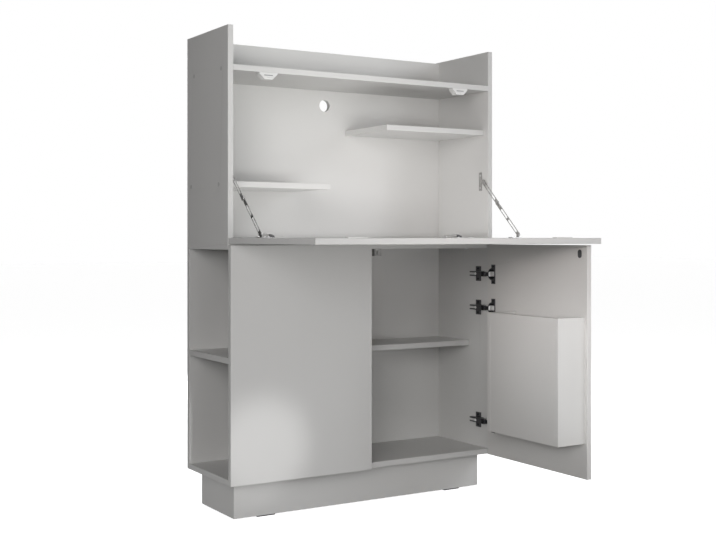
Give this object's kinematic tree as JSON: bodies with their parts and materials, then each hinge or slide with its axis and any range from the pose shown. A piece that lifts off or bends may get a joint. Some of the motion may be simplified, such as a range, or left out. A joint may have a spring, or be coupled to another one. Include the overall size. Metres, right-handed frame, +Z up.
{
  "type": "fold down wall desk",
  "caption": "Free-standing desk cabinet on a plinth: hutch with shelves closed by a fold-down writing flap on stays, over an open side niche and a cupboard with a storage box on its door.",
  "frame": {"origin": "on the floor, at the centre of the footprint of the desk with its flap down and its door open square", "axes": "+Z up, -Y towards the user, +X to the user's right"},
  "size_m": [0.9, 0.761, 1.35],
  "materials": {
    "carcass_board": "matt light grey melamine on board",
    "flap_board": "matt light grey melamine on board",
    "door_board": "matt light grey melamine on board",
    "glide_plastic": "moulded dark plastic",
    "corner_block": "raw softwood",
    "beech_dowel": "fluted beech",
    "zinc_fitting": "die-cast zinc",
    "steel_fastener": "zinc plated",
    "cap_plastic": "moulded light grey plastic",
    "hinge_dark": "dark oxidised steel",
    "hinge_bright": "nickel plated steel",
    "stay_steel": "zinc plated steel",
    "catch_plastic": "moulded white plastic",
    "magnet": "ferrite",
    "strike_plate": "light painted steel",
    "latch_plastic": "moulded grey plastic",
    "strike_dark": "dark painted steel"
  },
  "bodies": {
    "cabinet": {"base_back": "carcass_board", "base_bottom": "carcass_board", "base_divider": "carcass_board", "base_side_right": "carcass_board", "base_top": "carcass_board", "cam_bolts": "steel_fastener", "cam_locks": "zinc_fitting", "carcass_screws": "steel_fastener", "catch_magnets": "magnet", "cupboard_shelf": "carcass_board", "door_hinge_arms": "hinge_dark", "door_hinge_plates": "hinge_dark", "dowels": "beech_dowel", "flap_catches": "catch_plastic", "flap_hinge_arms": "hinge_bright", "flap_hinge_plates": "hinge_bright", "floor_glides": "glide_plastic", "front_panel_left": "carcass_board", "hutch_back": "carcass_board", "hutch_bottom": "carcass_board", "hutch_shelf_left": "carcass_board", "hutch_shelf_right": "carcass_board", "hutch_side_left": "carcass_board", "hutch_side_right": "carcass_board", "hutch_top_shelf": "carcass_board", "latch_housing": "latch_plastic", "niche_shelf": "carcass_board", "plinth_back": "carcass_board", "plinth_corner_blocks": "corner_block", "plinth_front": "carcass_board", "plinth_left": "carcass_board", "plinth_right": "carcass_board", "screw_caps": "cap_plastic", "shelf_pins": "steel_fastener", "shelf_screws": "steel_fastener", "stack_screws": "steel_fastener", "stay_bracket_left": "stay_steel", "stay_bracket_right": "stay_steel"},
    "flap": {"flap_panel": "flap_board", "flap_screws": "steel_fastener", "flap_hinge_cups": "hinge_bright", "flap_strikes": "strike_plate", "stay_foot_left": "stay_steel", "stay_foot_right": "stay_steel"},
    "flap_links": {"flap_hinge_links": "hinge_bright"},
    "stay_lower_left": {"stay_lower_arm_left": "stay_steel"},
    "stay_upper_left": {"stay_upper_arm_left": "stay_steel"},
    "stay_lower_right": {"stay_lower_arm_right": "stay_steel"},
    "stay_upper_right": {"stay_upper_arm_right": "stay_steel"},
    "door": {"door_panel": "door_board", "door_box_face": "door_board", "door_box_end_free": "door_board", "door_box_end_hinge": "door_board", "door_box_bottom": "door_board", "door_box_dowels": "beech_dowel", "door_screws": "steel_fastener", "door_strike": "strike_dark", "door_hinge_cups": "hinge_dark"},
    "door_links": {"door_hinge_links": "hinge_dark"},
    "latch_plunger": {"latch_plunger": "latch_plastic"}
  },
  "joints": [
    {"name": "flap_fold", "type": "hinge", "parent": "cabinet", "child": "flap", "pos_m": [0, 0.0915, 0.765], "axis": [-1, 0, 0], "range_deg": [0, 90]},
    {"name": "flap_link_turn", "type": "hinge", "parent": "cabinet", "child": "flap_links", "pos_m": [0, 0.1055, 0.779], "axis": [1, 0, 0], "range_deg": [0, 25.3]},
    {"name": "stay_foot_turn_left", "type": "hinge", "parent": "flap", "child": "stay_lower_left", "pos_m": [-0.4274, -0.0513, 0.7828], "axis": [1, 0, 0], "range_deg": [0, 117.6]},
    {"name": "stay_elbow_turn_left", "type": "hinge", "parent": "stay_lower_left", "child": "stay_upper_left", "pos_m": [-0.4306, 0.05102, 0.87931], "axis": [-1, 0, 0], "range_deg": [0, 180.1]},
    {"name": "stay_foot_turn_right", "type": "hinge", "parent": "flap", "child": "stay_lower_right", "pos_m": [0.4274, -0.0513, 0.7828], "axis": [1, 0, 0], "range_deg": [0, 117.6]},
    {"name": "stay_elbow_turn_right", "type": "hinge", "parent": "stay_lower_right", "child": "stay_upper_right", "pos_m": [0.4306, 0.05102, 0.87931], "axis": [-1, 0, 0], "range_deg": [0, 180.1]},
    {"name": "door_swing", "type": "hinge", "parent": "cabinet", "child": "door", "pos_m": [0.439, 0.0884, 0.43], "axis": [0, 0, -1], "range_deg": [-15, 90]},
    {"name": "door_link_turn", "type": "hinge", "parent": "cabinet", "child": "door_links", "pos_m": [0.423, 0.1045, 0.43], "axis": [0, 0, 1], "range_deg": [-5.3, 31.6]},
    {"name": "latch_push", "type": "slide", "parent": "cabinet", "child": "latch_plunger", "axis": [0, 1, 0], "range_m": [0, 0.0025]}
  ],
  "couplings": [
    {"joint": "flap_link_turn", "follows": "flap_fold", "ratio": 0.28},
    {"joint": "stay_foot_turn_left", "follows": "flap_fold", "ratio": 1.3056},
    {"joint": "stay_elbow_turn_left", "follows": "flap_fold", "ratio": 2},
    {"joint": "stay_foot_turn_right", "follows": "flap_fold", "ratio": 1.3056},
    {"joint": "stay_elbow_turn_right", "follows": "flap_fold", "ratio": 2},
    {"joint": "door_link_turn", "follows": "door_swing", "ratio": 0.35}
  ]
}
